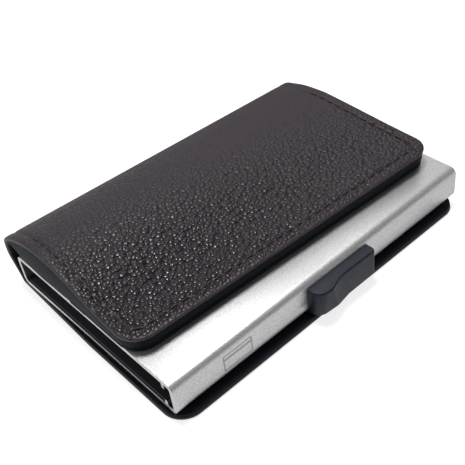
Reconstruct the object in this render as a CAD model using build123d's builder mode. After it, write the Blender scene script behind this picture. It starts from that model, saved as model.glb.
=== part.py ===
"""Slide-out aluminium card case in a wrap-around leather cover with a pocketed flap.

Frame, in millimetres: +X runs along the case from its open mouth (-X) to its closed end, -Y is the side
with the sliding trigger, +Y the spine of the cover, and +Z is up. The cover's back rests on Z = 0, and the
origin is under the middle of the case.
"""
import os
from math import cos, pi, radians, sin

from build123d import *

# Card case: an extruded tube, open at both ends
CASE_LENGTH = 98.0
CASE_WIDTH = 63.0
CASE_HEIGHT = 9.5
CASE_BOTTOM = 2.0
CASE_WALL = 1.2
CASE_CORNER = 2.0
RIB_INNER = 27.5
RIB_THICK = 0.9
RIB_HEIGHT = 1.5
WINDOW_CORNER = 0.5

# Plug in the closed end
PLUG_DEPTH = 4.8
PLUG_INSET = 0.3
PLUG_CHAMFER = 0.4

# Felt liners and the steel keeper plates let into the upper one
LINER_THICK = 0.6
LINER_END_GAP = 0.4
LINER_WALL_GAP = 1.0
KEEPER_SIZE = (12.0, 6.0)
KEEPER_THICK = 0.3
KEEPER_GAP = 0.1
MAGNET_X = 25.0
MAGNET_Y = -17.4

# Sliding trigger: a humped thumb rest towards the mouth and a thin bar behind it
TRAVEL = 16.0
SLOT_START = -7.1
SLOT_HEIGHT = 2.6
SLOT_CENTRE_Z = 6.75
POST_LENGTH = 3.0
POST_HEIGHT = 2.2
POST_END = 12.3
POST_ROOT = 0.4
POST_REACH = 0.95
TRIGGER_START = -8.2
TRIGGER_END = 13.0
TRIGGER_BOTTOM = 2.2
TRIGGER_TOP = 9.9
TRIGGER_RIM = 0.55
TRIGGER_ROUNDS = [3.0, 2.4, 3.0, 1.3]
BAR_PROUD = 3.15
TOP_HUMP_START_PROUD = 4.0
TOP_HUMP = (-3.9, 4.45)
TOP_BAR = (0.6, 2.95)
BOTTOM_HUMP_START_PROUD = 3.5
BOTTOM_HUMP = (-1.6, 4.0)
BOTTOM_BAR = (4.6, 3.1)
SLIDE_GAP = 0.12

# Carriage: a runner beside the wall, a neck between the ribs and a stepped pusher behind the cards
RUNNER_START = -2.0
RUNNER_FLOOR_GAP = 0.4
NECK_GAP = 0.2
PUSHER_START = 36.9
PUSHER_END = 43.4
PUSHER_FAR_SIDE = -4.0
PUSHER_LINER_GAP = 0.1
STEP_COUNT = 5
STEP_LENGTH = 1.2
CARD_SPACE_BACK = 36.0
RIB_GAP = 0.3

# Cover: thicknesses of its layers
BACK_LEATHER = 0.8
LINING_TOP = 1.76
BOARD_TOP = 1.22
SKIN = 1.1
FLAP_LINING = 2.1
SPINE_LINING = 0.7
BOARD = 0.5
POCKET_PANEL = 0.45
MAGNET_SIZE = (10.0, 4.4)
MAGNET_THICK = 0.9
GLUE = 0.02

# Cover: outline seen from above
LEFT_EDGE = -49.8
RIGHT_EDGE = 49.8
RIGHT_EDGE_FRONT = 48.6
FRONT_LEFT = -20.3
FRONT_RIGHT = -25.0
CORNER_RADIUS = 6.0
BACK_LEFT_EDGE = -49.7
BACK_RIGHT_EDGE = 49.0
BACK_FRONT_EDGE = -33.0

# Cover: how far each layer stops short of the edge of the leather
BACK_LINING_INSET = 0.2
BACK_LINING_BACK = 32.3
BACK_BOARD_INSET = 3.0
ADHESIVE_INSET = 3.0
FLAP_LINING_INSET = 0.3
FLAP_BOARD_INSET = 4.0
FLAP_BOARD_BACK = 22.0
BOARD_GAP = 0.1
POCKET_INSET = 0.6
POCKET_MOUTHS = {"bill_pocket_panel": 17.0, "rear_card_pocket": 9.0, "front_card_pocket": 1.0}

# Thread of the flap
STITCH_INSET = 3.2
STITCH_PITCH = 3.2
STITCH_LENGTH = 2.4
STITCH_WIDTH = 0.5
SIDE_STITCH_BACK = 26.0

# Cover: shape of the flap, which lies flat at the closed end and arches up at the mouth
FLAP_TOP = 16.4
SPINE_DROP = 0.5
DROP_START = 20.0
ARCH_HEIGHT = 5.6
ARCH_CENTRE = 15.0
ARCH_REACH = 30.0

# Cover: fold lines, and the spine's section between them
SPINE_SEAM_Y = 34.6
SPINE_SEAM_Z = 1.6
FLAP_SEAM_Y = 30.5
SEAM_GAP = 0.1
SHOULDER_Y = 33.4
SHOULDER_DROP = 2.6
BULGE_Y = 35.0
BULGE_DROP = 7.0

CASE_TOP = CASE_BOTTOM + CASE_HEIGHT
INSIDE_BOTTOM = CASE_BOTTOM + CASE_WALL
INSIDE_TOP = CASE_TOP - CASE_WALL
INSIDE_Y = CASE_WIDTH / 2 - CASE_WALL
CASE_MID_Z = CASE_BOTTOM + CASE_HEIGHT / 2
SIDE_Y = -CASE_WIDTH / 2
OVERRUN = 1.0

os.makedirs("parts", exist_ok=True)


def save(builder, name):
    """Labels one finished piece and writes it as its own node."""
    builder.part.label = name
    export_step(builder.part, f"parts/{name}.step")


def block(x, y, z, mode=Mode.ADD):
    """A block between pairs of X, Y and Z limits."""
    centre = [(low + high) / 2 for low, high in (x, y, z)]
    with Locations(tuple(centre)):
        Box(x[1] - x[0], y[1] - y[0], z[1] - z[0], mode=mode)


def lift(x):
    """How far the crown of the arch stands above the flat flap, at a place along the case."""
    return ARCH_HEIGHT * (RIGHT_EDGE - x) / (RIGHT_EDGE - LEFT_EDGE)


def flap_flat(y):
    """Height of the flap's outer surface where it lies flat."""
    return FLAP_TOP - SPINE_DROP * max(0.0, (y - DROP_START) / (FLAP_SEAM_Y - DROP_START)) ** 2


def flap_top(x, y):
    """Height of the flap's outer surface."""
    arch = cos(pi / 2 * min(1.0, abs(y - ARCH_CENTRE) / ARCH_REACH)) ** 2
    return flap_flat(y) + lift(x) * arch


def flap_front(x):
    """Front edge of the flap, which runs slightly askew to the case."""
    return FRONT_LEFT + (FRONT_RIGHT - FRONT_LEFT) * (x - LEFT_EDGE) / (RIGHT_EDGE - LEFT_EDGE)


def flap_outline(inset, back):
    """Plan of the flap or of a layer of it: straight at the back edge, rounded at the front corners."""
    left = LEFT_EDGE + inset
    right_front = RIGHT_EDGE_FRONT - inset
    corners = [
        (left, back),
        (left, flap_front(left) + inset),
        (right_front, flap_front(right_front) + inset),
        (RIGHT_EDGE - inset, back),
    ]
    with BuildSketch(Plane.XY) as outline:
        with BuildLine():
            Polyline(*corners, close=True)
        make_face()
        front_corners = outline.vertices().sort_by(Axis.Y)[:2]
        fillet(front_corners, CORNER_RADIUS - inset)
    return outline.sketch


def arched(x, y, depth):
    """Height of a surface at a depth under the flap that follows its arch."""
    return flap_top(x, y) - depth


def level(x, y, depth):
    """Height of a surface at a depth under the flap that stays flat beneath the arch."""
    return flap_flat(y) - depth


def flap_layer(top, bottom, inset, back=FLAP_SEAM_Y - SEAM_GAP, above=arched, below=arched):
    """A layer of the flap, between two depths below the flap's outer surface."""
    samples = 11
    with BuildPart() as layer:
        for x in (LEFT_EDGE - OVERRUN, RIGHT_EDGE + OVERRUN):
            front = flap_front(x) - OVERRUN
            places = [front + (FLAP_SEAM_Y - front) * i / (samples - 1) for i in range(samples)]
            upper = [(y, above(x, y, top)) for y in places]
            lower = [(y, below(x, y, bottom)) for y in places]
            with BuildSketch(Plane.YZ.offset(x)):
                with BuildLine():
                    Spline(*upper)
                    Spline(*lower)
                    Line(upper[0], lower[0])
                    Line(upper[-1], lower[-1])
                make_face()
        loft(ruled=True)
        add(extrude(flap_outline(inset, back), amount=2 * FLAP_TOP, mode=Mode.PRIVATE), mode=Mode.INTERSECT)
    return layer


def spine_curve(x, depth):
    """Points of the spine's section from the flap's seam down to the back's seam, at a depth inside it."""
    top = flap_top(x, FLAP_SEAM_Y)
    shoulder_turn = 41
    bulge_turn = 5
    return [
        (FLAP_SEAM_Y + SEAM_GAP, top - 1.06 * depth),
        (
            SHOULDER_Y - depth * cos(radians(shoulder_turn)),
            top - SHOULDER_DROP - depth * sin(radians(shoulder_turn)),
        ),
        (BULGE_Y - depth, top - BULGE_DROP - depth * sin(radians(bulge_turn))),
        (SPINE_SEAM_Y - depth, SPINE_SEAM_Z + SEAM_GAP),
    ]


def spine_layer(outside, inside):
    """A layer of the spine between two depths, from the mouth's end to the closed end."""
    with BuildPart() as layer:
        for x in (LEFT_EDGE, RIGHT_EDGE):
            outer = spine_curve(x, outside)
            inner = spine_curve(x, inside)
            with BuildSketch(Plane.YZ.offset(x)):
                with BuildLine():
                    Spline(*outer)
                    Spline(*inner)
                    Line(outer[0], inner[0])
                    Line(outer[-1], inner[-1])
                make_face()
        loft(ruled=True)
    return layer


def back_outline(inset, back):
    """Plan of the back panel or of a layer of it."""
    with BuildSketch(Plane.XY) as outline:
        with BuildLine():
            left = BACK_LEFT_EDGE + inset
            right = BACK_RIGHT_EDGE - inset
            front = BACK_FRONT_EDGE + inset
            Polyline((left, back), (left, front), (right, front), (right, back), close=True)
        make_face()
        fillet(outline.vertices().sort_by(Axis.Y)[:2], CORNER_RADIUS - inset)
    return outline.sketch


# ---------------------------------------------------------------- card case
slot_end = POST_END + NECK_GAP
with BuildPart() as card_case:
    with BuildSketch(Plane.YZ.offset(-CASE_LENGTH / 2)):
        with Locations((0, CASE_MID_Z)):
            RectangleRounded(CASE_WIDTH, CASE_HEIGHT, CASE_CORNER)
            RectangleRounded(
                CASE_WIDTH - 2 * CASE_WALL,
                CASE_HEIGHT - 2 * CASE_WALL,
                CASE_CORNER - CASE_WALL,
                mode=Mode.SUBTRACT,
            )
        for rib_z in (INSIDE_BOTTOM + RIB_HEIGHT / 2, INSIDE_TOP - RIB_HEIGHT / 2):
            with Locations((-RIB_INNER - RIB_THICK / 2, rib_z)):
                Rectangle(RIB_THICK, RIB_HEIGHT)
    extrude(amount=CASE_LENGTH)
    with BuildSketch(Plane.XZ.offset(INSIDE_Y - OVERRUN)):
        with Locations(((SLOT_START + slot_end) / 2, SLOT_CENTRE_Z)):
            RectangleRounded(slot_end - SLOT_START, SLOT_HEIGHT, WINDOW_CORNER)
    extrude(amount=CASE_WALL + 2 * OVERRUN, mode=Mode.SUBTRACT)
save(card_case, "card_case")

# Plug that closes the far end, with a notch for each rib
with BuildPart() as end_cap:
    with BuildSketch(Plane.YZ.offset(CASE_LENGTH / 2 - PLUG_INSET)):
        with Locations((0, CASE_MID_Z)):
            RectangleRounded(
                CASE_WIDTH - 2 * CASE_WALL - 2 * GLUE,
                CASE_HEIGHT - 2 * CASE_WALL - 2 * GLUE,
                CASE_CORNER - CASE_WALL,
            )
        for rib_z in (INSIDE_BOTTOM, INSIDE_TOP):
            with Locations((-RIB_INNER - RIB_THICK / 2, rib_z)):
                Rectangle(RIB_THICK + 4 * GLUE, 2 * RIB_HEIGHT + 4 * GLUE, mode=Mode.SUBTRACT)
    extrude(amount=-PLUG_DEPTH)
    inner_face = end_cap.faces().sort_by(Axis.X)[0]
    chamfer(inner_face.edges().filter_by(Axis.Y).sort_by(SortBy.LENGTH)[-2:], PLUG_CHAMFER)
save(end_cap, "end_cap")

# ---------------------------------------------------------------- liners and keeper plates
liner_x = (-CASE_LENGTH / 2 + LINER_END_GAP, CARD_SPACE_BACK)
liner_y = (-RIB_INNER + RIB_GAP, INSIDE_Y - LINER_WALL_GAP)
with BuildPart() as lower_card_liner:
    block(liner_x, liner_y, (INSIDE_BOTTOM + GLUE, INSIDE_BOTTOM + LINER_THICK))
save(lower_card_liner, "lower_card_liner")

keeper_places = [(side * MAGNET_X, MAGNET_Y, INSIDE_TOP - GLUE - KEEPER_THICK / 2) for side in (-1, 1)]
with BuildPart() as keeper_plates:
    with Locations(*keeper_places):
        Box(*KEEPER_SIZE, KEEPER_THICK)
save(keeper_plates, "keeper_plates")

with BuildPart() as upper_card_liner:
    block(liner_x, liner_y, (INSIDE_TOP - LINER_THICK, INSIDE_TOP - GLUE))
    with Locations(*keeper_places):
        Box(
            KEEPER_SIZE[0] + 2 * KEEPER_GAP,
            KEEPER_SIZE[1] + 2 * KEEPER_GAP,
            KEEPER_THICK + 2 * GLUE,
            mode=Mode.SUBTRACT,
        )
save(upper_card_liner, "upper_card_liner")

# ---------------------------------------------------------------- slide
wall_y = SIDE_Y - SLIDE_GAP


def trigger_outline(z, start_proud, hump, bar):
    """The button seen from above: each place gives X and how far it stands proud of the wall."""
    with BuildSketch(Plane.XY.offset(z)) as outline:
        with BuildLine():
            FilletPolyline(
                (TRIGGER_START, wall_y),
                (TRIGGER_START + SLIDE_GAP, SIDE_Y - start_proud),
                (hump[0], SIDE_Y - hump[1]),
                (bar[0], SIDE_Y - bar[1]),
                (TRIGGER_END, SIDE_Y - BAR_PROUD),
                (TRIGGER_END, wall_y),
                radius=TRIGGER_ROUNDS,
            )
            Line((TRIGGER_START, wall_y), (TRIGGER_END, wall_y))
        make_face()
    return outline.sketch


post_x = (POST_END - POST_LENGTH, POST_END)
post_z = (SLOT_CENTRE_Z - POST_HEIGHT / 2, SLOT_CENTRE_Z + POST_HEIGHT / 2)
post_tip = -INSIDE_Y + POST_REACH
with BuildPart() as slide_trigger:
    add(trigger_outline(TRIGGER_BOTTOM, BOTTOM_HUMP_START_PROUD, BOTTOM_HUMP, BOTTOM_BAR))
    add(trigger_outline(TRIGGER_TOP, TOP_HUMP_START_PROUD, TOP_HUMP, TOP_BAR))
    loft(ruled=True)
    rim = slide_trigger.edges().group_by(Axis.Z)[0] + slide_trigger.edges().group_by(Axis.Z)[-1]
    fillet([edge for edge in rim if edge.center().Y < wall_y - SLIDE_GAP], TRIGGER_RIM)
    block(post_x, (wall_y - POST_ROOT, post_tip), post_z)
save(slide_trigger, "slide_trigger")

runner_x = (RUNNER_START, PUSHER_END)
runner_y = (-INSIDE_Y + SLIDE_GAP, -RIB_INNER - RIB_THICK - SLIDE_GAP)
runner_z = (INSIDE_BOTTOM + RUNNER_FLOOR_GAP, INSIDE_TOP - RUNNER_FLOOR_GAP)
pusher_y = (-RIB_INNER + RIB_GAP, PUSHER_FAR_SIDE)
liner_gap = LINER_THICK + PUSHER_LINER_GAP
pusher_z = (INSIDE_BOTTOM + liner_gap, INSIDE_TOP - liner_gap)
neck_z = (INSIDE_BOTTOM + RIB_HEIGHT + NECK_GAP, INSIDE_TOP - RIB_HEIGHT - NECK_GAP)
step_height = (pusher_z[1] - pusher_z[0]) / STEP_COUNT
with BuildPart() as slider_carriage:
    block(runner_x, runner_y, runner_z)
    block((PUSHER_START, PUSHER_END), (runner_y[1] - SLIDE_GAP, pusher_y[0] + SLIDE_GAP), neck_z)
    for step in range(STEP_COUNT):
        step_z = pusher_z[0] + step * step_height
        block((PUSHER_START + step * STEP_LENGTH, PUSHER_END), pusher_y, (step_z, step_z + step_height))
    block(
        (post_x[0] - GLUE, post_x[1] + GLUE),
        (runner_y[0] - OVERRUN, post_tip + GLUE),
        (post_z[0] - GLUE, post_z[1] + GLUE),
        mode=Mode.SUBTRACT,
    )
save(slider_carriage, "slider_carriage")

# ---------------------------------------------------------------- back panel of the cover
back_bend = SPINE_SEAM_Z
bend_y = SPINE_SEAM_Y - back_bend
with BuildPart() as back_leather:
    extrude(back_outline(0, bend_y), amount=BACK_LEATHER)
    with BuildSketch(Plane.YZ.offset(BACK_LEFT_EDGE)):
        with BuildLine():
            RadiusArc((bend_y, 0), (SPINE_SEAM_Y, SPINE_SEAM_Z), -back_bend)
            Line((SPINE_SEAM_Y, SPINE_SEAM_Z), (SPINE_SEAM_Y - BACK_LEATHER, SPINE_SEAM_Z))
            RadiusArc(
                (SPINE_SEAM_Y - BACK_LEATHER, SPINE_SEAM_Z),
                (bend_y, BACK_LEATHER),
                back_bend - BACK_LEATHER,
            )
            Line((bend_y, BACK_LEATHER), (bend_y, 0))
        make_face()
    extrude(amount=BACK_RIGHT_EDGE - BACK_LEFT_EDGE)
save(back_leather, "back_leather")

with BuildPart() as back_board:
    extrude(back_outline(BACK_BOARD_INSET, CASE_WIDTH / 2 - BACK_BOARD_INSET), amount=BOARD_TOP)
    split(bisect_by=Plane.XY.offset(BACK_LEATHER + GLUE), keep=Keep.TOP)
save(back_board, "back_board")

with BuildPart() as back_lining:
    extrude(back_outline(BACK_LINING_INSET, BACK_LINING_BACK), amount=LINING_TOP)
    split(bisect_by=Plane.XY.offset(BACK_LEATHER + GLUE), keep=Keep.TOP)
    recess = extrude(
        back_outline(BACK_BOARD_INSET - BOARD_GAP, CASE_WIDTH / 2 - BACK_BOARD_INSET + BOARD_GAP),
        amount=BOARD_TOP + GLUE,
        mode=Mode.PRIVATE,
    )
    add(recess, mode=Mode.SUBTRACT)
save(back_lining, "back_lining")

with BuildPart() as adhesive_sheet:
    block(
        (-CASE_LENGTH / 2 + ADHESIVE_INSET, CASE_LENGTH / 2 - ADHESIVE_INSET),
        (SIDE_Y + ADHESIVE_INSET, -SIDE_Y - ADHESIVE_INSET),
        (LINING_TOP + GLUE, CASE_BOTTOM - GLUE),
    )
save(adhesive_sheet, "adhesive_sheet")

# ---------------------------------------------------------------- spine of the cover
save(spine_layer(0.0, SKIN), "spine_leather")
save(spine_layer(SKIN + GLUE, SKIN + SPINE_LINING), "spine_lining")

# ---------------------------------------------------------------- flap of the cover
save(flap_layer(0.0, SKIN, 0.0), "flap_leather")

board_top = SKIN + GLUE
board_bottom = board_top + BOARD
save(flap_layer(board_top, board_bottom, FLAP_BOARD_INSET, FLAP_BOARD_BACK), "flap_board")

magnet_top = FLAP_TOP - board_bottom - GLUE
magnet_places = [(side * MAGNET_X, MAGNET_Y, magnet_top - MAGNET_THICK / 2) for side in (-1, 1)]
with BuildPart() as flap_magnets:
    with Locations(*magnet_places):
        Box(*MAGNET_SIZE, MAGNET_THICK)
save(flap_magnets, "flap_magnets")

# Padded lining, which fills the arch and is flat underneath
with BuildPart() as flap_lining:
    add(flap_layer(SKIN + GLUE, SKIN + FLAP_LINING, FLAP_LINING_INSET, below=level).part)
    recess_plan = (FLAP_BOARD_INSET - BOARD_GAP, FLAP_BOARD_BACK + BOARD_GAP)
    add(flap_layer(SKIN - GLUE, board_bottom + GLUE, *recess_plan).part, mode=Mode.SUBTRACT)
    with Locations(*magnet_places):
        Box(
            MAGNET_SIZE[0] + 2 * BOARD_GAP,
            MAGNET_SIZE[1] + 2 * BOARD_GAP,
            MAGNET_THICK + 4 * GLUE,
            mode=Mode.SUBTRACT,
        )
save(flap_lining, "flap_lining")

# Pocket panels, each sewn in at the front and sides and open towards the spine
for layer_number, (pocket_name, mouth) in enumerate(POCKET_MOUTHS.items()):
    panel_top = SKIN + FLAP_LINING + GLUE + layer_number * POCKET_PANEL
    panel_bottom = panel_top + POCKET_PANEL - GLUE
    save(flap_layer(panel_top, panel_bottom, POCKET_INSET, mouth, level, level), pocket_name)


# One short bead of thread for each stitch of the flap, half sunk in the leather
def stitch_run(start, end):
    """Middles of the stitches of one straight row seen from above, with the row's direction."""
    row = Vector(*end) - Vector(*start)
    count = int(row.length / STITCH_PITCH)
    return [(Vector(*start) + row * ((i + 0.5) / count), row.normalized()) for i in range(count)]


left_x = LEFT_EDGE + STITCH_INSET
right_x = RIGHT_EDGE_FRONT - STITCH_INSET
corner = CORNER_RADIUS
front_row_y = [flap_front(x) + STITCH_INSET for x in (left_x + corner, right_x - corner)]
rows = [
    ((left_x, SIDE_STITCH_BACK), (left_x, flap_front(left_x) + STITCH_INSET + corner)),
    ((left_x + corner, front_row_y[0]), (right_x - corner, front_row_y[1])),
    ((right_x, flap_front(right_x) + STITCH_INSET + corner), (right_x + 1.0, SIDE_STITCH_BACK)),
]
with BuildPart() as flap_stitching:
    for row_start, row_end in rows:
        for middle, direction in stitch_run(row_start, row_end):
            half = direction * (STITCH_LENGTH / 2)
            low, high = middle - half, middle + half
            start_point = (low.X, low.Y, flap_top(low.X, low.Y))
            end_point = (high.X, high.Y, flap_top(high.X, high.Y))
            line_of_stitch = Vector(*end_point) - Vector(*start_point)
            with BuildSketch(Plane(origin=start_point, z_dir=line_of_stitch)):
                Circle(STITCH_WIDTH / 2)
            extrude(amount=line_of_stitch.length)
save(flap_stitching, "flap_stitching")
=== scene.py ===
"""Looks of a slide-out aluminium card case in a brown leather cover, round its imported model."""
import math

import bmesh
import bpy
import numpy as np
from mathutils import Matrix, Vector


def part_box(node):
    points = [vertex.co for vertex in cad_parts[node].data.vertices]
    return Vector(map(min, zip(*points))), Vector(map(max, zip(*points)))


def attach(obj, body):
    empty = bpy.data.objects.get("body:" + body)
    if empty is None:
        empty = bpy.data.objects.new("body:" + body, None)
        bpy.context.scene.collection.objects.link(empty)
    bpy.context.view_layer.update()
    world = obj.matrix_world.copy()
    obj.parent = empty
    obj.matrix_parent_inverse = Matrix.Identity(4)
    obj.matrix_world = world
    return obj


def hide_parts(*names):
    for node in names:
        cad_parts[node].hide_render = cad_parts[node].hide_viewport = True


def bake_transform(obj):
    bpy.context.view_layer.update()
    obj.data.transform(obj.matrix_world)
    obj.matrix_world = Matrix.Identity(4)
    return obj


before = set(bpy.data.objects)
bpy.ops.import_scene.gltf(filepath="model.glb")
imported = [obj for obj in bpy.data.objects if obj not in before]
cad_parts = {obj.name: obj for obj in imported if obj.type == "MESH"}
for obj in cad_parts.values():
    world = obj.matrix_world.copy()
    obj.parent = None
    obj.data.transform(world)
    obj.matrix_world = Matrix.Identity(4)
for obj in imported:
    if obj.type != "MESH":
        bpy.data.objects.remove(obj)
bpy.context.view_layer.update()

# ---------------------------------------------------------------- card case
# A drawn aluminium tube, sawn to length, bead-blasted and anodised, with black flock sprayed inside.
# Two ribs guide the slide, and a milled window in the long wall lets the trigger's post through.
MM = 0.001
case_low, case_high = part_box("card_case")
case_wall = 1.2 * MM
case_corner = 2.0 * MM
rib_near, rib_far = -28.4 * MM, -27.5 * MM
rib_height = 1.5 * MM
window_x = (-7.1 * MM, 12.5 * MM)
window_z = (5.45 * MM, 8.05 * MM)
window_corner = 0.5 * MM
broken_edge = 0.12 * MM
touching = 0.01 * MM


def edit(piece):
    """Opens one piece for editing, with nothing in it selected."""
    bpy.ops.object.select_all(action="DESELECT")
    bpy.context.view_layer.objects.active = piece
    piece.select_set(True)
    bpy.ops.object.mode_set(mode="EDIT")
    bpy.ops.mesh.select_mode(type="FACE")
    bpy.ops.mesh.select_all(action="DESELECT")


def close():
    bpy.ops.object.mode_set(mode="OBJECT")


def choose(piece, kind, test):
    """Selects just those faces, edges or vertices of the piece being edited that pass a test."""
    bpy.ops.mesh.select_mode(type=kind)
    bpy.ops.mesh.select_all(action="DESELECT")
    shape = bmesh.from_edit_mesh(piece.data)
    parts = {"FACE": shape.faces, "EDGE": shape.edges, "VERT": shape.verts}[kind]
    for part in parts:
        if test(part):
            part.select_set(True)
    shape.select_flush_mode()
    bmesh.update_edit_mesh(piece.data)


def middle(part):
    """Middle of a face or an edge."""
    total = Vector()
    for corner in part.verts:
        total += corner.co
    return total / len(part.verts)


def runs_along(edge, axis):
    """True if an edge lies along one axis."""
    direction = (edge.verts[1].co - edge.verts[0].co).normalized()
    return abs(direction[axis]) > 0.999


def cut(piece, axis, place):
    """Cuts the piece being edited through at a place along one axis."""
    bpy.ops.mesh.select_all(action="SELECT")
    normal = [0, 0, 0]
    normal[axis] = 1
    point = [0, 0, 0]
    point[axis] = place
    bpy.ops.mesh.bisect(plane_co=point, plane_no=normal)


def add_block(name, low, high):
    """A block between two corners, with its place in its mesh."""
    bpy.ops.object.select_all(action="DESELECT")
    low, high = Vector(low), Vector(high)
    bpy.ops.mesh.primitive_cube_add(size=1, location=(low + high) / 2, scale=high - low)
    piece = bpy.context.active_object
    piece.name = piece.data.name = name
    bpy.ops.object.transform_apply(location=True, rotation=True, scale=True)
    return piece


def apply_modifiers(piece):
    bpy.ops.object.select_all(action="DESELECT")
    bpy.context.view_layer.objects.active = piece
    piece.select_set(True)
    for modifier in list(piece.modifiers):
        bpy.ops.object.modifier_apply(modifier=modifier.name)


def soften(piece, width, segments=2, angle=40):
    """Breaks every sharp edge by a small round, and shades the piece smooth up to that angle."""
    rounding = piece.modifiers.new("edges", "BEVEL")
    rounding.limit_method = "ANGLE"
    rounding.angle_limit = math.radians(angle)
    rounding.width = width
    rounding.segments = segments
    apply_modifiers(piece)
    bpy.ops.object.shade_smooth_by_angle(angle=math.radians(angle))


class Value:
    """One socket of a finish, with the sums that shader maths needs."""

    def __init__(self, finish, socket):
        self.finish = finish
        self.socket = socket

    def maths(self, operation, *terms):
        return self.finish.node("ShaderNodeMath", {"operation": operation}, dict(enumerate(terms)))

    def __add__(self, other):
        return self.maths("ADD", self, other)

    def __sub__(self, other):
        return self.maths("SUBTRACT", self, other)

    def __rsub__(self, other):
        return self.maths("SUBTRACT", other, self)

    def __mul__(self, other):
        return self.maths("MULTIPLY", self, other)

    def __truediv__(self, other):
        return self.maths("DIVIDE", self, other)

    __radd__ = __add__
    __rmul__ = __mul__

    def inside(self, low, high):
        """1 between two values and 0 outside them."""
        return self.maths("GREATER_THAN", self, low) * self.maths("LESS_THAN", self, high)

    def step(self, low, high):
        """A smooth step from 0 at low to 1 at high."""
        settings = {"interpolation_type": "SMOOTHSTEP"}
        limits = {"Value": self, "From Min": low, "From Max": high, "To Min": 0.0, "To Max": 1.0}
        return self.finish.node("ShaderNodeMapRange", settings, limits)

    def beside(self, out):
        """Another output of the node that this value comes from."""
        return Value(self.finish, self.socket.node.outputs[out])


class Finish:
    """A material under construction: a Principled shader and the nodes that feed it."""

    def __init__(self, name):
        self.material = bpy.data.materials.new(name)
        self.open(self.material, "Principled BSDF", "Object")

    def open(self, block, shader, place):
        block.use_nodes = True
        self.tree = block.node_tree
        self.shader = self.tree.nodes[shader]
        self.place = self.node("ShaderNodeTexCoord", out=place)

    def node(self, kind, settings=None, inputs=None, out=0):
        """Adds a node: its settings first, then the values or links of its sockets."""
        node = self.tree.nodes.new(kind)
        for name, value in (settings or {}).items():
            setattr(node, name, value)
        for key, value in (inputs or {}).items():
            self.feed(node.inputs[key], value)
        return Value(self, node.outputs[out])

    def feed(self, socket, value):
        if isinstance(value, Value):
            self.tree.links.new(value.socket, socket)
        else:
            socket.default_value = value

    def set(self, **values):
        """Feeds the shader's sockets, named with underscores for spaces."""
        for name, value in values.items():
            self.feed(self.shader.inputs[name.replace("_", " ")], value)

    def axes(self, vector):
        """The three parts of a vector."""
        split = self.node("ShaderNodeSeparateXYZ", None, {"Vector": vector}).socket.node
        return [Value(self, output) for output in split.outputs]

    def vector(self, operation, first, second, out=0):
        return self.node("ShaderNodeVectorMath", {"operation": operation}, {0: first, 1: second}, out)

    def noise(self, size, detail=2.0, roughness=0.5, at=None):
        """Cloudy noise with features of one size, in metres."""
        inputs = {"Vector": at or self.place, "Scale": 1 / size}
        inputs.update({"Detail": detail, "Roughness": roughness})
        return self.node("ShaderNodeTexNoise", None, inputs)

    def mix(self, share, first, second):
        """A colour between two colours."""
        settings = {"data_type": "RGBA"}
        return self.node("ShaderNodeMix", settings, {0: share, 6: first, 7: second}, out=2)

    def bump(self, height, depth):
        """Relief of a height from 0 to 1, where 1 is a depth in metres."""
        inputs = {"Height": height, "Distance": depth, "Strength": 1.0}
        self.set(Normal=self.node("ShaderNodeBump", None, inputs))


def grey(level):
    return (level, level, level, 1)


sign_middle = (-30.5 * MM, 6.75 * MM)
sign_half_width, sign_half_height = 4.4 * MM, 2.4 * MM
sign_line = 0.4 * MM
sign_stripe = (0.7 * MM, 1.4 * MM)


def blasted_aluminium():
    """Bead-blasted and clear anodised: tiny craters, with darker spots painted in as their sparkle, and
    a card sign etched on the wall.
    """
    finish = Finish("blasted_aluminium")
    crater = finish.noise(0.34 * MM, 2.0, 0.7)
    cloud = finish.noise(9 * MM, 2.0)
    x, y, z = finish.axes(finish.place)
    across = x - sign_middle[0]
    up = z - sign_middle[1]

    def card(margin):
        wide, high = sign_half_width - margin, sign_half_height - margin
        return across.inside(-wide, wide) * up.inside(-high, high)

    outline = card(0) - card(sign_line) * (1 - up.inside(*sign_stripe))
    sign = y.inside(-1.0, case_low.y + case_wall / 3) * outline
    tone = finish.mix(cloud, (0.82, 0.815, 0.82, 1), (0.87, 0.865, 0.87, 1))
    # Painted sparkle: darker spots where the crater noise is high, standing in for the glitter of the
    # blasted top.
    painted_sparkle_tone = finish.mix(crater.step(0.38, 0.56), grey(0.66), tone)
    finish.set(
        Base_Color=finish.mix(sign * 0.8, painted_sparkle_tone, grey(0.34)),
        Metallic=0.70,
        Roughness=0.36 + crater * 0.12 + sign * 0.1,
    )
    finish.bump(crater, 0.03 * MM)
    return finish.material


def sawn_aluminium():
    """Bare ends: bright metal with the fine lines of the saw."""
    finish = Finish("sawn_aluminium")
    squashed = finish.node(
        "ShaderNodeMapping", None, {"Vector": finish.place, "Scale": (1.0, 0.05, 1.0)}
    )
    lines = finish.noise(0.12 * MM, 2.0, 0.6, squashed)
    finish.set(
        Base_Color=finish.mix(lines, grey(0.62), grey(0.86)),
        Metallic=1.0,
        Roughness=0.28 + lines * 0.2,
    )
    finish.bump(lines, 0.01 * MM)
    return finish.material


def black_felt(name="black_felt"):
    """Pressed felt or flock: matt black with a fuzz of short fibres."""
    finish = Finish(name)
    fibre = finish.noise(0.25 * MM, 6.0, 0.75)
    patch = finish.noise(3 * MM, 2.0)
    shade = finish.mix(fibre, (0.010, 0.012, 0.017, 1), (0.048, 0.052, 0.066, 1))
    finish.set(Base_Color=shade, Roughness=0.85 + patch * 0.1, Sheen_Weight=0.25, Sheen_Roughness=0.6)
    finish.bump(fibre, 0.12 * MM)
    return finish.material


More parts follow.
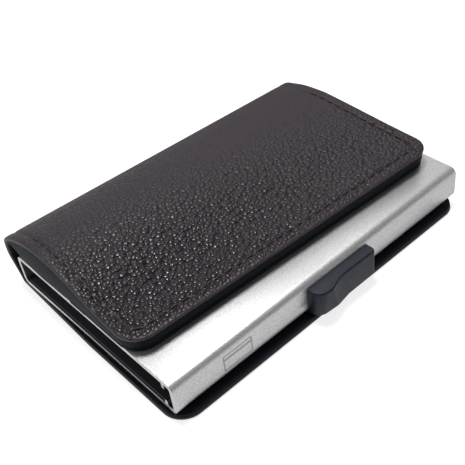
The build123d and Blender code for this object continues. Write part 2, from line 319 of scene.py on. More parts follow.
case = add_block("case_shell", case_low, case_high)
edit(case)
choose(case, "EDGE", lambda edge: runs_along(edge, 0))
bpy.ops.mesh.bevel(offset=case_corner, segments=8, affect="EDGES")
choose(case, "FACE", lambda face: abs(face.normal.x) > 0.9)
bpy.ops.mesh.inset(thickness=case_wall, use_individual=True)
bpy.ops.mesh.bridge_edge_loops()
for rib_side in (rib_near, rib_far):
    cut(case, 1, rib_side)
for inner_wall, direction in ((case_low.z + case_wall, 1), (case_high.z - case_wall, -1)):
    choose(
        case,
        "FACE",
        lambda face: face.normal.z * direction > 0.9
        and abs(middle(face).z - inner_wall) < touching
        and rib_near < middle(face).y < rib_far,
    )
    bpy.ops.mesh.extrude_region_move(
        TRANSFORM_OT_translate={"value": (0, 0, direction * rib_height)}
    )
for axis, places in ((0, window_x), (2, window_z)):
    for place in places:
        cut(case, axis, place)


def in_window(part):
    spot = middle(part)
    return window_x[0] < spot.x < window_x[1] and window_z[0] < spot.z < window_z[1]


choose(
    case,
    "FACE",
    lambda face: abs(face.normal.y) > 0.9 and in_window(face) and middle(face).y < rib_near,
)
bpy.ops.mesh.bridge_edge_loops()
choose(
    case,
    "EDGE",
    lambda edge: runs_along(edge, 1)
    and middle(edge).y < case_low.y + case_wall
    and min(abs(middle(edge).x - place) for place in window_x) < touching
    and min(abs(middle(edge).z - place) for place in window_z) < touching,
)
bpy.ops.mesh.bevel(offset=window_corner, segments=4, affect="EDGES")
close()
soften(case, broken_edge)
for material in (blasted_aluminium(), sawn_aluminium(), black_felt("black_flock")):
    case.data.materials.append(material)
flock_starts = 0.6 * case_wall
for face in case.data.polygons:
    spot = face.center
    inward = min(
        spot.y - case_low.y, case_high.y - spot.y, spot.z - case_low.z, case_high.z - spot.z
    )
    if abs(face.normal.x) > 0.6:
        face.material_index = 1
    elif inward >= flock_starts:
        face.material_index = 2
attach(case, "case")
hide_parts("card_case")


# ---------------------------------------------------------------- end cap
# A black moulded plug pressed into the closed end, a little below the rim, with a shallow panel in
# its face.
def black_plastic():
    """Moulded plastic with a fine spark-eroded texture, slightly shinier where it is handled."""
    finish = Finish("black_plastic")
    grain = finish.noise(0.3 * MM, 3.0, 0.6)
    wear = finish.noise(4 * MM, 2.0)
    shade = finish.mix(grain.step(0.35, 0.65), (0.006, 0.008, 0.015, 1), (0.031, 0.036, 0.056, 1))
    roughness = 0.40 + grain * 0.16 - wear * 0.08
    finish.set(Base_Color=shade, Roughness=roughness, Specular_IOR_Level=0.30)
    finish.bump(grain, 0.09 * MM)
    return finish.material


plastic = black_plastic()
merge_gap = 0.002 * MM


def copy_of_node(name, node):
    """A separate copy of a CAD node's shape, with its loose triangles joined into clean faces."""
    piece = bpy.data.objects.new(name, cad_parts[node].data.copy())
    bpy.context.scene.collection.objects.link(piece)
    piece.data.materials.clear()
    edit(piece)
    bpy.ops.mesh.select_all(action="SELECT")
    bpy.ops.mesh.remove_doubles(threshold=merge_gap)
    bpy.ops.mesh.dissolve_limited(angle_limit=math.radians(0.5))
    close()
    return piece


cap = copy_of_node("closed_end_plug", "end_cap")
cap_low, cap_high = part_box("end_cap")
cap_frame = 1.0 * MM
panel_sink = 0.5 * MM
panel_y = (rib_far + cap_frame, cap_high.y - cap_frame)
panel_z = (cap_low.z + cap_frame, cap_high.z - cap_frame)
edit(cap)
for axis, places in ((1, panel_y), (2, panel_z)):
    for place in places:
        cut(cap, axis, place)
choose(
    cap,
    "FACE",
    lambda face: face.normal.x > 0.9
    and panel_y[0] < middle(face).y < panel_y[1]
    and panel_z[0] < middle(face).z < panel_z[1],
)
bpy.ops.mesh.extrude_region_move(TRANSFORM_OT_translate={"value": (-panel_sink, 0, 0)})
close()
soften(cap, broken_edge)
cap.data.materials.append(plastic)
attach(cap, "case")
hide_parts("end_cap")

# ---------------------------------------------------------------- felt liners, plates and adhesive
# Two felt strips glued inside the case grip the cards. The upper one hides two thin steel plates for
# the flap's magnets, and a sheet of adhesive film holds the case to the cover.
felt = black_felt()
felt_edge = 0.15 * MM
liner_nodes = {"felt_under_cards": "lower_card_liner", "felt_over_cards": "upper_card_liner"}
for liner_name, node in liner_nodes.items():
    liner = copy_of_node(liner_name, node)
    soften(liner, felt_edge, 3)
    liner.data.materials.append(felt)
    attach(liner, "case")
    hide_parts(node)


def plated_metal(name, colour, roughness):
    """Thin plated sheet with rolling marks along its length."""
    finish = Finish(name)
    long_grain = finish.node(
        "ShaderNodeMapping", None, {"Vector": finish.place, "Scale": (0.06, 1.0, 1.0)}
    )
    marks = finish.noise(0.15 * MM, 3.0, 0.6, long_grain)
    dull = tuple(0.8 * part for part in colour[:3]) + (1,)
    worn = finish.mix(marks, dull, colour)
    finish.set(Base_Color=worn, Metallic=1.0, Roughness=roughness + marks * 0.15)
    finish.bump(marks, 0.004 * MM)
    return finish.material


def foam_film():
    """Dark double-sided film with a slightly pebbled face."""
    finish = Finish("adhesive_film")
    cell = finish.noise(0.4 * MM, 4.0, 0.6)
    finish.set(Base_Color=finish.mix(cell, grey(0.03), grey(0.07)), Roughness=0.5 + cell * 0.3)
    finish.bump(cell, 0.03 * MM)
    return finish.material


def finish_node(node, material):
    """Gives a carried-over CAD node its material."""
    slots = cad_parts[node].material_slots
    for slot in slots:
        slot.link = "OBJECT"
        slot.material = material
    if not slots:
        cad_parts[node].data.materials.append(material)


finish_node("keeper_plates", plated_metal("zinc_plated_steel", (0.52, 0.52, 0.50, 1), 0.3))
finish_node("adhesive_sheet", foam_film())

# ---------------------------------------------------------------- slide
# The button outside the wall and the carriage inside it are two moulded pieces staked together through
# the window. The button is humped for the thumb; the carriage's stepped end fans the cards out.
moulded_edge = 0.1 * MM
trigger = copy_of_node("thumb_trigger", "slide_trigger")
soften(trigger, moulded_edge, angle=35)
trigger.data.materials.append(plastic)
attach(trigger, "slide")
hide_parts("slide_trigger")

carriage = copy_of_node("stepped_carriage", "slider_carriage")
soften(carriage, moulded_edge)
carriage.data.materials.append(plastic)
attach(carriage, "slide")
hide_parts("slider_carriage")

# ---------------------------------------------------------------- cover: its section
# The cover is cut flat and wrapped round the case: along the back, round the spine and over the top.
# The flap lies flat at the closed end and arches up at the mouth, so its section changes evenly along
# the case.
flap_low, flap_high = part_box("flap_leather")
back_low, back_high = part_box("back_leather")
left_x, right_x = flap_low.x, flap_high.x
seam_y = flap_high.y
flat_top = 16.4 * MM
left_drop, right_drop = 0.7 * MM, 1.3 * MM
drop_start = 20.0 * MM
arch_height = 5.6 * MM
arch_centre = 15.0 * MM
arch_reach = 30.0 * MM
closed_end_bow = 0.5 * MM
front_left_y, front_right_y = -20.1 * MM, -24.55 * MM
first_flap_y = 27.5 * MM
flap_points = 14
spine_curve = [(35.05 * MM, 9.8 * MM), (34.95 * MM, 6.8 * MM), (33.6 * MM, 2.7 * MM)]
left_bulge, right_bulge = 0.9 * MM, -0.8 * MM
back_overhang = 0.4 * MM
back_front_y = back_low.y - back_overhang
bend_radius = 1.6 * MM
bend_y = back_high.y - bend_radius
skin = 1.1 * MM
section_steps = 400
quarter_turn = np.linspace(0, math.pi / 2, 9)[1:]
spine_joint_height = 8.0 * MM
corner_radius = 6.0 * MM


def flap_height(arch, drop_most, y):
    """Height of the flap's outer surface where the arch's crown stands so far above the flat."""
    drop = drop_most * max(0.0, (y - drop_start) / (seam_y - drop_start)) ** 2
    from_crown = min(1.0, abs(y - arch_centre) / arch_reach)
    return flat_top - drop + arch * math.cos(math.pi / 2 * from_crown) ** 2


def smooth_through(points, steps=24):
    """A smooth line through points, as an array of close points."""
    points = [np.array(point, float) for point in points]
    points = [2 * points[0] - points[1]] + points + [2 * points[-1] - points[-2]]
    line = []
    for before, start, end, after in zip(points, points[1:], points[2:], points[3:]):
        for t in np.linspace(0, 1, steps, endpoint=False):
            line.append(
                0.5
                * (
                    2 * start
                    + (end - before) * t
                    + (2 * before - 5 * start + 4 * end - after) * t**2
                    + (3 * start - before - 3 * end + after) * t**3
                )
            )
    line.append(points[-2])
    return np.array(line)


def evenly(line, count):
    """The same line with evenly spaced points, and its length."""
    gaps = np.hypot(*np.diff(line, axis=0).T)
    distance = np.concatenate([[0], np.cumsum(gaps)])
    places = np.linspace(0, distance[-1], count)
    return np.column_stack([np.interp(places, distance, line[:, k]) for k in (0, 1)]), distance[-1]


def upper_section(arch, drop_most, front_y, bulge):
    """Outer line from the spine's foot up over the top to the flap's front edge, as (y, z) points."""
    top = flap_height(arch, drop_most, seam_y)
    points = [(back_high.y, back_high.z)]
    points += [(back + bulge, top - below) for back, below in spine_curve]
    points.append((seam_y, top))
    for y in np.linspace(first_flap_y, front_y, flap_points):
        points.append((y, flap_height(arch, drop_most, y)))
    return evenly(smooth_through(points), section_steps)


def lower_section():
    """Outer line of the back from its front edge along the underside and round the bend."""
    line = [(back_front_y, 0.0), (bend_y, 0.0)]
    for turn in quarter_turn:
        line.append((bend_y + bend_radius * math.sin(turn), bend_radius * (1 - math.cos(turn))))
    return evenly(np.array(line), section_steps)


lower_line, lower_length = lower_section()
left_line, left_length = upper_section(arch_height, left_drop, front_left_y, left_bulge)
right_line, right_length = upper_section(closed_end_bow, right_drop, front_right_y, right_bulge)
upper_length = (left_length + right_length) / 2
flat_length = lower_length + upper_length
spine_split = lower_length + spine_joint_height
# How far the side edges stray to the right of straight, at distances from the foot of the spine.
trim_places = [lower_length + distance * MM for distance in (-68, -34, 0, 8, 15, 21, 30, 71)]
left_trims = [trim * MM for trim in (-0.3, -0.2, 1.0, 0.35, 0, 0, 0, 0)]
right_trims = [trim * MM for trim in (-0.8, -0.8, -0.9, -1.6, -1.4, -0.6, 0, -1.8)]


def toward_closed_end(x):
    """0 at the mouth's edge of the cover and 1 at the closed end's."""
    return (x - left_x) / (right_x - left_x)


def section_point(x, along):
    """Points of the cover's outer surface, at x along the case and a distance along the cut leather."""
    share = np.clip(toward_closed_end(x), 0, 1)[:, None]
    up = np.clip((along - lower_length) / upper_length, 0, 1) * (section_steps - 1)
    down = np.clip(along / lower_length, 0, 1) * (section_steps - 1)
    steps = np.arange(section_steps)

    def on(line, place):
        return np.column_stack([np.interp(place, steps, line[:, k]) for k in (0, 1)])

    upper = on(left_line, up) * (1 - share) + on(right_line, up) * share
    return np.where((along > lower_length)[:, None], upper, on(lower_line, down))


def cover_point(x, along, depth):
    """Points at a depth inside the cover's outer surface."""
    x, along = np.asarray(x, float), np.asarray(along, float)
    reach = 0.3 * MM
    before = section_point(x, np.maximum(along - reach, 0))
    after = section_point(x, np.minimum(along + reach, flat_length - 1e-9))
    tangent = after - before
    tangent /= np.hypot(*tangent.T)[:, None]
    outward = np.column_stack([tangent[:, 1], -tangent[:, 0]])
    spot = section_point(x, along) - outward * np.asarray(depth)[..., None]
    share = toward_closed_end(x)
    left_trim = np.interp(along, trim_places, left_trims)
    right_trim = np.interp(along, trim_places, right_trims)
    return np.column_stack([x + left_trim * (1 - share) + right_trim * share, spot])


def from_edges(x, along, x_range, far_end):
    """Distance in from the cut edge of a blank whose far end has rounded corners."""
    half = (x_range[1] - x_range[0]) / 2
    side = half - np.abs(x - (x_range[0] + x_range[1]) / 2)
    end = np.abs(far_end - along)
    in_corner = (side < corner_radius) & (end < corner_radius)
    round_part = corner_radius - np.hypot(corner_radius - side, corner_radius - end)
    return np.where(in_corner, round_part, np.minimum(side, end))


def stations(low, high, step, near=()):
    """Places to cut a blank at, evenly spaced, with more at chosen places."""
    count = int(round((high - low) / step))
    places = list(np.linspace(low, high, count + 1)[1:-1]) + [p for p in near if low < p < high]
    return sorted(set(round(p, 6) for p in places))


def blank(name, x_range, along_range, rounded_end, step=1.2 * MM, also=()):
    """A flat blank cut into a fine grid: X is along the case, Y the distance along the leather."""
    bpy.ops.object.select_all(action="DESELECT")
    width, length = x_range[1] - x_range[0], along_range[1] - along_range[0]
    centre = ((x_range[0] + x_range[1]) / 2, (along_range[0] + along_range[1]) / 2, 0)
    bpy.ops.mesh.primitive_plane_add(size=1, location=centre)
    piece = bpy.context.active_object
    piece.name = piece.data.name = name
    piece.scale = (width, length, 1)
    bpy.ops.object.transform_apply(location=True, rotation=True, scale=True)
    edit(piece)
    far_end = along_range[rounded_end]
    choose(piece, "VERT", lambda vertex: abs(vertex.co.y - far_end) < touching)
    bpy.ops.mesh.bevel(offset=corner_radius, segments=12, affect="VERTICES")
    offsets = [distance * MM for distance in (0.5, 1.1, 2.5, 3.2, 3.9)]
    inward = 1 if rounded_end == 0 else -1
    near_sides = [x_range[0] + d for d in offsets] + [x_range[1] - d for d in offsets]
    near_end = [far_end + inward * d for d in offsets] + list(also)
    for place in stations(*x_range, step, near_sides):
        cut(piece, 0, place)
    for place in stations(*along_range, step, near_end):
        cut(piece, 1, place)
    close()
    return piece


def eased(place, start, end):
    """0 before one place and 1 after another, with a smooth rise between them."""
    share = np.clip((place - start) / (end - start), 0, 1)
    return share * share * (3 - 2 * share)


def places_on(piece):
    """Where the points of a flat blank are: X, and the distance along the leather."""
    spots = np.empty(len(piece.data.vertices) * 3)
    piece.data.vertices.foreach_get("co", spots)
    return spots.reshape(-1, 3)[:, :2].T


def drape(piece, depth, shape=None, edges=None):
    """Lays a blank round the cover's section at a depth, which shape may vary from place to place.

    Given the leather's width and far end, it records how far in from the cut edge each point is.
    """
    x, along = places_on(piece)
    if edges:
        inset = piece.data.attributes.new("inset", "FLOAT", "POINT")
        inset.data.foreach_set("value", from_edges(x, along, *edges))
    sink = np.full(len(x), depth) + (shape(x, along) if shape else 0)
    piece.data.vertices.foreach_set("co", cover_point(x, along, sink).ravel())
    piece.data.flip_normals()


def fill(piece, fullness):
    """Marks how full each point of a flat blank is, from 0 to 1."""
    group = piece.vertex_groups.new(name="fullness")
    for index, full in enumerate(fullness):
        group.add([index], float(full), "REPLACE")


def taper(piece, start, end):
    """Leaves a flat blank empty before one distance along it and full after another."""
    fill(piece, eased(places_on(piece)[1], start, end))


def on_outline(cut_edge):
    """True for the edges round a cut face, apart from the face where two lengths meet on the spine."""
    cut_faces = [face for face in cut_edge.link_faces if face.material_index == 1]
    if len(cut_faces) != 1:
        return False
    return abs(cut_faces[0].normal.z) < 0.7 or middle(cut_faces[0]).y < seam_y


def thicken(piece, thickness, edge_round, surface, edge, thin=1.0):
    """Gives a draped blank its thickness inwards, less where it isn't full, and rounds its cut edges."""
    piece.data.materials.append(surface)
    piece.data.materials.append(edge)
    wall = piece.modifiers.new("wall", "SOLIDIFY")
    wall.thickness = thickness
    wall.offset = -1
    wall.use_even_offset = True
    wall.material_offset_rim = 1
    if piece.vertex_groups:
        wall.vertex_group = piece.vertex_groups[0].name
        wall.thickness_vertex_group = thin
    apply_modifiers(piece)
    edit(piece)
    choose(piece, "EDGE", on_outline)
    bpy.ops.mesh.bevel(offset=edge_round, segments=3, affect="EDGES", material=1)
    close()
    bpy.ops.object.shade_smooth_by_angle(angle=math.radians(40))


# ---------------------------------------------------------------- cover: brown outer leather
# One piece of pebble-grained leather wraps the back, the spine and the flap. It is modelled in two
# lengths that meet half way up the spine, so that each can bend across one fold. Its cut edges are
# painted.
stitch_inset = 3.2 * MM


def pebbled_leather():
    """Shrunken grain: small facets tipped at random, with painted shade in the creases between them and
    along the stitch groove; pressed flat at the edges.
    """
    finish = Finish("brown_pebbled_leather")
    grain_size = 1.1 * MM
    drift_size, drift_most = 1.6 * MM, 0.6 * MM
    at_random = {"Vector": finish.place, "Scale": 1 / drift_size, "Detail": 2.0}
    drift = finish.node("ShaderNodeTexNoise", None, at_random, out=1)
    centred = finish.vector("SUBTRACT", drift, (0.5,) * 3)
    nudge = finish.vector("MULTIPLY", centred, (drift_most,) * 3)
    moved = finish.vector("ADD", finish.place, nudge)
    grain = {"Vector": moved, "Scale": 1 / grain_size}
    crease = finish.node("ShaderNodeTexVoronoi", {"feature": "DISTANCE_TO_EDGE"}, grain)
    centre = finish.node("ShaderNodeTexVoronoi", {"feature": "F1"}, grain)
    lean = finish.vector("SUBTRACT", centre.beside(1), (0.5,) * 3)
    across = finish.vector("SUBTRACT", moved, centre.beside(2))
    tip = finish.vector("DOT_PRODUCT", lean, across, out=1) / grain_size
    pore = finish.noise(0.14 * MM, 2.0)
    cloud = finish.noise(14 * MM, 3.0)
    inset = finish.node("ShaderNodeAttribute", {"attribute_name": "inset"}, out=2)
    valley = crease.step(0.0, 0.2)
    x, y, _ = finish.axes(finish.place)
    fading = y.step(-10 * MM, 26 * MM) * 0.6 + x.step(-30 * MM, 45 * MM) * 0.34
    groove_near = inset.step(stitch_inset - 0.6 * MM, stitch_inset - 0.2 * MM)
    groove_far = inset.step(stitch_inset + 0.2 * MM, stitch_inset + 0.6 * MM)
    seam = groove_near * (1 - groove_far)
    full = (1 - fading) * (0.4 + inset.step(0.2 * MM, 1.8 * MM) * 0.6) * (1 - seam * 0.6)
    facet = 1.0 - centre * centre * 2.0 + tip * 1.1
    top = finish.mix(cloud, (0.017, 0.008, 0.014, 1), (0.025, 0.012, 0.020, 1))
    # Painted shade: the creases and the stitch groove take a near-black colour, which fades where the
    # grain is flattened, at the cut edges and towards the spine and the closed end.
    outside_painted_shade = (valley + (1 - full) * 0.7) * (1 - seam * 0.5)
    finish.set(
        Base_Color=finish.mix(outside_painted_shade, (0.007, 0.003, 0.006, 1), top),
        Roughness=0.54 - valley * full * 0.34 + pore * 0.06,
        Specular_IOR_Level=0.5,
    )
    finish.bump((valley * 0.25 + facet * 0.75 + pore * 0.04) * full, 0.27 * MM)
    return finish.material


def painted_edge():
    """Edge paint: a smooth dark coat that sits over the cut fibres."""
    finish = Finish("painted_edge")
    ripple = finish.noise(0.8 * MM, 3.0)
    shade = finish.mix(ripple, (0.038, 0.027, 0.029, 1), (0.060, 0.046, 0.047, 1))
    finish.set(Base_Color=shade, Roughness=0.42 + ripple * 0.12)
    finish.bump(ripple, 0.05 * MM)
    return finish.material


brown_leather = pebbled_leather()
edge_paint = painted_edge()
groove_depth, groove_half_width = 0.16 * MM, 0.55 * MM
edge_fall, edge_fall_reach = 0.22 * MM, 1.6 * MM
flap_x = (left_x, right_x)
back_x = flap_x
back_skin_thick = 0.8 * MM


def edge_relief(x_range, far_end):
    """How the sewing sinks the leather: a groove along the stitches and an edge that falls away."""

    def relief(x, along):
        inset = from_edges(x, along, x_range, far_end)
        groove = groove_depth * np.exp(-(((inset - stitch_inset) / groove_half_width) ** 2))
        fall = edge_fall * np.clip(1 - inset / edge_fall_reach, 0, 1) ** 2
        return groove + fall

    return relief


flap_skin = blank("flap_leather_skin", flap_x, (spine_split, flat_length), 1)
drape(flap_skin, 0.0, edge_relief(flap_x, flat_length), (flap_x, flat_length))
thicken(flap_skin, skin, 0.3 * MM, brown_leather, edge_paint)
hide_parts("flap_leather")
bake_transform(flap_skin)
flap_cut = (flap_x[1] - flap_x[0], flat_length - spine_split)

back_skin = blank("back_leather_skin", back_x, (0.0, spine_split), 0)
taper(back_skin, lower_length, spine_split)
drape(back_skin, 0.0, edge_relief(back_x, 0.0), (back_x, 0.0))
thicken(back_skin, skin, 0.25 * MM, brown_leather, edge_paint, back_skin_thick / skin)
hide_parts("back_leather", "spine_leather")
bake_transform(back_skin)


# ---------------------------------------------------------------- cover: black lining
# Fine-grained black leather lines the cover. Under the flap it is doubled over a board and padded to
# fill the arch, so its edge shows as a thick black band; on the spine it is a single thin layer.
def lining_leather():
    """Smooth black leather with a fine print grain."""
    finish = Finish("black_lining_leather")
    grid = {"Vector": finish.place, "Scale": 1 / (0.5 * MM)}
    cell = finish.node("ShaderNodeTexVoronoi", {"feature": "DISTANCE_TO_EDGE"}, grid)
    cloud = finish.noise(6 * MM, 3.0)
    shade = finish.mix(cloud, (0.006, 0.008, 0.015, 1), (0.010, 0.013, 0.023, 1))
    finish.set(
        Base_Color=shade,
        Roughness=0.55 + cloud * 0.1 - cell.step(0.0, 0.3) * 0.08,
        Specular_IOR_Level=0.14,
    )
    finish.bump(cell.step(0.0, 0.25), 0.03 * MM)
    return finish.material


lining_black = lining_leather()
glue = 0.02 * MM
lining_inset = 0.3 * MM
flap_lining_x = (flap_x[0] + lining_inset, flap_x[1] - lining_inset)
lining_thick = 2.1 * MM
lining_thin = 0.7 * MM
lining_swells = (lower_length + 19.0 * MM, lower_length + 27.0 * MM)
padding_swells = (lower_length + 15.0 * MM, lower_length + 20.0 * MM)
lining_along = (spine_split, flat_length - lining_inset)
lining = blank("flap_lining_leather", flap_lining_x, lining_along, 1)


def padding(x, along):
    """How much the lining thickens to fill the arch, so that it is flat underneath."""
    y, z = section_point(x, along).T
    drop_most = left_drop + (right_drop - left_drop) * toward_closed_end(x)
    drop = drop_most * np.clip((y - drop_start) / (seam_y - drop_start), 0, 1) ** 2
    return np.maximum(z - flat_top + drop, 0) * eased(along, *padding_swells)


padding_most = lining_thick + arch_height
x, along = places_on(lining)
extra = (lining_thick - lining_thin) * eased(along, *lining_swells) + padding(x, along)
fill(lining, extra / (padding_most - lining_thin))
drape(lining, skin + glue)
thicken(lining, padding_most, 0.35 * MM, lining_black, lining_black, lining_thin / padding_most)
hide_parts("flap_lining")
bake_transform(lining)
lining_cut = (flap_lining_x[1] - flap_lining_x[0], flat_length - lining_inset - spine_split)

back_lining_inset = 0.2 * MM
back_lining_thick = 0.94 * MM
back_lining_x = (back_x[0] + back_lining_inset, back_x[1] - back_lining_inset)
back_lining_along = (back_lining_inset, spine_split)
lower_lining = blank("back_lining_leather", back_lining_x, back_lining_along, 0)
back_lining_thins = (lower_length - 4.0 * MM, lower_length - 7.0 * MM)
taper(lower_lining, *back_lining_thins)


def skin_inside(x, along):
    """The outer leather grows thicker up the spine, so its lining lies deeper there."""
    return (skin - back_skin_thick) * eased(along, lower_length, spine_split)


drape(lower_lining, back_skin_thick + glue, skin_inside)
back_lining_thin = lining_thin / back_lining_thick
thicken(lower_lining, back_lining_thick, 0.2 * MM, lining_black, lining_black, back_lining_thin)
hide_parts("back_lining", "spine_lining")
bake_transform(lower_lining)

# ---------------------------------------------------------------- cover: pockets under the flap
# A bill pocket and two stepped card pockets, sewn in at the front and sides and open towards the spine.
# The mouth of each is turned over, so it stands thicker as far as the turned edge.
pocket_thick = 0.43 * MM
turned_thick = 0.66 * MM
turned_width, turned_step = 5.6 * MM, 0.4 * MM
pocket_pitch = 0.45 * MM
pocket_inset = 0.45 * MM
first_pocket_depth = skin + lining_thick + glue
pocket_x = (flap_x[0] + pocket_inset, flap_x[1] - pocket_inset)
pocket_nodes = ("bill_pocket_panel", "rear_card_pocket", "front_card_pocket")
pocket_mouths = [flat_length - distance * MM for distance in (40.0, 32.0, 24.0)]
for number, (node, mouth) in enumerate(zip(pocket_nodes, pocket_mouths)):
    along_range = (mouth, flat_length - pocket_inset)
    turned = (mouth + turned_width + turned_step, mouth + turned_width)
    panel = blank(f"{node}_leather", pocket_x, along_range, 1, 2.0 * MM, turned)
    taper(panel, *turned)
    drape(panel, first_pocket_depth + number * pocket_pitch, padding)
    thicken(panel, turned_thick, 0.12 * MM, lining_black, lining_black, pocket_thick / turned_thick)
    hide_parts(node)
    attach(panel, "flap")
    panel_cut = (pocket_x[1] - pocket_x[0], along_range[1] - along_range[0])

# ---------------------------------------------------------------- cover: boards and magnets
# Hidden between the leather and the lining: fibre boards keep the cover flat, and two nickel-plated
# magnets meet the plates in the case.
def fibre_board():
    """Grey pressed board with short fibres."""
    finish = Finish("fibre_board")
    fibre = finish.noise(0.5 * MM, 5.0, 0.7)
    finish.set(Base_Color=finish.mix(fibre, grey(0.09), grey(0.16)), Roughness=0.8 + fibre * 0.1)
    finish.bump(fibre, 0.04 * MM)
    return finish.material


board = fibre_board()
finish_node("back_board", board)
finish_node("flap_board", board)
finish_node("flap_magnets", plated_metal("nickel_plate", (0.66, 0.63, 0.58, 1), 0.16))


# ---------------------------------------------------------------- cover: stitching
# Dark brown bonded thread, about eight stitches to the inch. Outside it lies in a groove that follows
# the cut edge; inside the flap it comes out through the lining and the pockets.
def bonded_thread():
    """Two-ply thread: uneven light and dark plies and a slight wax shine."""
    finish = Finish("brown_thread")
    ply = finish.noise(0.1 * MM, 2.0)
    shade = finish.mix(ply, (0.012, 0.007, 0.009, 1), (0.050, 0.034, 0.038, 1))
    finish.set(Base_Color=shade, Roughness=0.5 + ply * 0.2)
    finish.bump(ply, 0.04 * MM)
    return finish.material


thread_brown = bonded_thread()
stitch_length = 2.5 * MM
stitch_pitch = 3.2 * MM
thread_radius = 0.24 * MM
thread_proud = 0.1 * MM
inside_proud = 0.17 * MM
probe = 0.5 * MM


def sewing_path(x_range, near_end, far_end):
    """Evenly spaced places and headings on the blank: down one side, across the far end and up again."""
    inward = 1 if near_end > far_end else -1
    radius = corner_radius - stitch_inset
    left, right = x_range[0] + stitch_inset, x_range[1] - stitch_inset
    end = far_end + inward * stitch_inset
    line = [(left, near_end), (left, end + inward * radius)]
    for turn in quarter_turn:
        sideways, back = radius * (1 - math.cos(turn)), radius * (1 - math.sin(turn))
        line.append((left + sideways, end + inward * back))
    mirrored = [(left + right - x, along) for x, along in reversed(line)]
    line = np.array(line + mirrored)
    total = np.hypot(*np.diff(line, axis=0).T).sum()
    count = int(total / stitch_pitch)
    places, _ = evenly(line, 2 * count + 1)
    return [(places[2 * k + 1], places[2 * k + 2] - places[2 * k]) for k in range(count)]


def sew(name, path, depth_at, body):
    """Lays one stitch at each place of a path, at the depth there, and joins them into one thread."""
    stitches = []
    for (x, along), heading in path:
        heading = heading / np.hypot(*heading) * probe
        rows = np.array([x - heading[0], x + heading[0], x])
        places = np.array([along - heading[1], along + heading[1], along])
        depths = depth_at(rows, places)
        ends = cover_point(rows, places, depths)
        side = cover_point(rows[2:], places[2:], depths[2:] - probe)[0]
        ahead = Vector(ends[1] - ends[0]).normalized()
        up = Vector(side - ends[2])
        up = (up - up.dot(ahead) * ahead).normalized()
        bpy.ops.mesh.primitive_uv_sphere_add(segments=8, ring_count=6, radius=1)
        stitch = bpy.context.active_object
        turn = Matrix((ahead, ahead.cross(up) * -1, up)).transposed().to_4x4()
        size = Matrix.Diagonal((stitch_length / 2, thread_radius, thread_radius, 1))
        stitch.data.transform(Matrix.Translation(Vector(ends[2])) @ turn @ size)
        stitches.append(stitch)
    bpy.ops.object.select_all(action="DESELECT")
    for stitch in stitches:
        stitch.select_set(True)
    bpy.context.view_layer.objects.active = stitches[0]
    bpy.ops.object.join()
    run = bpy.context.active_object
    run.name = run.data.name = name
    bpy.ops.object.transform_apply(location=True, rotation=True, scale=True)
    edit(run)
    bpy.ops.mesh.select_all(action="SELECT")
    bpy.ops.mesh.normals_make_consistent(inside=False)
    close()
    bpy.ops.object.shade_smooth()
    run.data.materials.append(thread_brown)
    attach(run, body)
    return run


def inside_depth(x, along):
    """How deep the innermost layer of the flap lies: the lining, or the pockets laid on it."""
    panels = sum(along[2] > mouth + stitch_pitch / 2 for mouth in pocket_mouths)
    turned = any(mouth < along[2] < mouth + turned_width for mouth in pocket_mouths)
    below = panels * pocket_pitch + turned * (turned_thick - pocket_thick) - inside_proud
    return first_pocket_depth + below + padding(x, along)


def groove_bottom(x, along):
    """Part way down the groove, so that the thread stands a little proud of it."""
    return np.full(len(x), groove_depth - thread_proud)


def under_back(x, along):
    """Deep enough for the thread to stay clear of a table."""
    return np.full(len(x), thread_radius)


flap_sewing_starts = lower_length + 27.0 * MM
flap_path = sewing_path(flap_x, flap_sewing_starts, flat_length)
top_thread = sew("flap_thread_above", flap_path, groove_bottom, "flap")
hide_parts("flap_stitching")
sew("flap_thread_below", flap_path, inside_depth, "flap")
back_sewing_starts = 62.0 * MM
back_path = sewing_path(back_x, back_sewing_starts, 0.0)
sew("back_thread_below", back_path, under_back, "case")

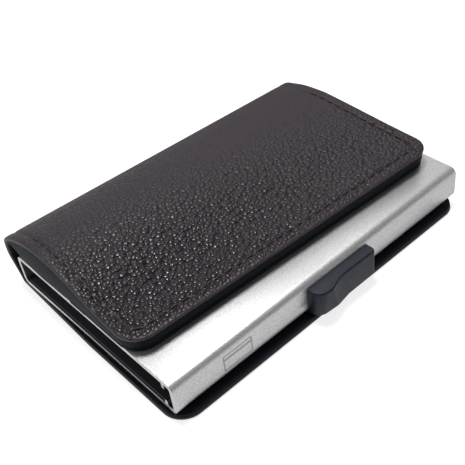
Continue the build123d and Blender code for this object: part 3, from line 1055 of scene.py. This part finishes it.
# ---------------------------------------------------------------- floor, light and camera
# A pale sheet under the wallet, a broad soft panel behind it that the top faces mirror, a small bright
# lamp overhead for the sparkle on metal and grain, and a dim room all round.
bpy.ops.object.select_all(action="DESELECT")
bpy.ops.mesh.primitive_plane_add(size=60, location=(0, 0, -0.02 * MM))
floor = bpy.context.active_object
floor.name = "floor"
paper = Finish("pale_floor")
paper.set(
    Base_Color=paper.mix(paper.noise(0.2), grey(0.52), grey(0.56)),
    Roughness=0.9,
    Emission_Color=grey(1.0),
    Emission_Strength=0.80,
)
floor.data.materials.append(paper.material)
floor.visible_glossy = False
floor.visible_diffuse = False


class Studio(Finish):
    """The light that comes from all round: a dim room above and a pale table below."""

    def __init__(self):
        world = bpy.data.worlds.new("studio")
        bpy.context.scene.world = world
        self.open(world, "Background", "Generated")


studio = Studio()
_, depth, height = studio.axes(studio.place)
room = studio.mix(depth.step(-0.5, 0.6), grey(0.12), grey(0.34))
studio.set(Color=studio.mix(height.step(-0.05, 0.02), grey(0.80), room), Strength=1.0)
scene = bpy.context.scene
scene.view_settings.view_transform = "Standard"


def soft_light(name, place, size, power):
    """A square soft box aimed at the wallet."""
    lamp = bpy.data.lights.new(name, "AREA")
    lamp.size = size
    lamp.energy = power
    holder = bpy.data.objects.new(name, lamp)
    holder.location = place
    holder.rotation_euler = (-Vector(place)).to_track_quat("-Z", "Y").to_euler()
    scene.collection.objects.link(holder)


soft_light("back_panel", place=(0.42, 0.55, 0.62), size=0.95, power=1.3)
soft_light("overhead_lamp", place=(0.02, 0.10, 0.62), size=0.15, power=2.55)

eye = Vector((-101.203, -129.177, 146.827)) * MM
target = Vector((-1.74, 2.15, 4.0)) * MM
roll = math.radians(-8.23)
forward = (target - eye).normalized()
level = forward.cross(Vector((0, 0, 1))).normalized()
upright = level.cross(forward)
right = level * math.cos(roll) + upright * math.sin(roll)
up = upright * math.cos(roll) - level * math.sin(roll)
lens = bpy.data.cameras.new("camera")
lens.lens = 63.58
lens.sensor_width = 36.0
lens.clip_start = 0.01
camera = bpy.data.objects.new("camera", lens)
camera.matrix_world = Matrix.Translation(eye) @ Matrix((right, up, -forward)).transposed().to_4x4()
scene.collection.objects.link(camera)
scene.camera = camera
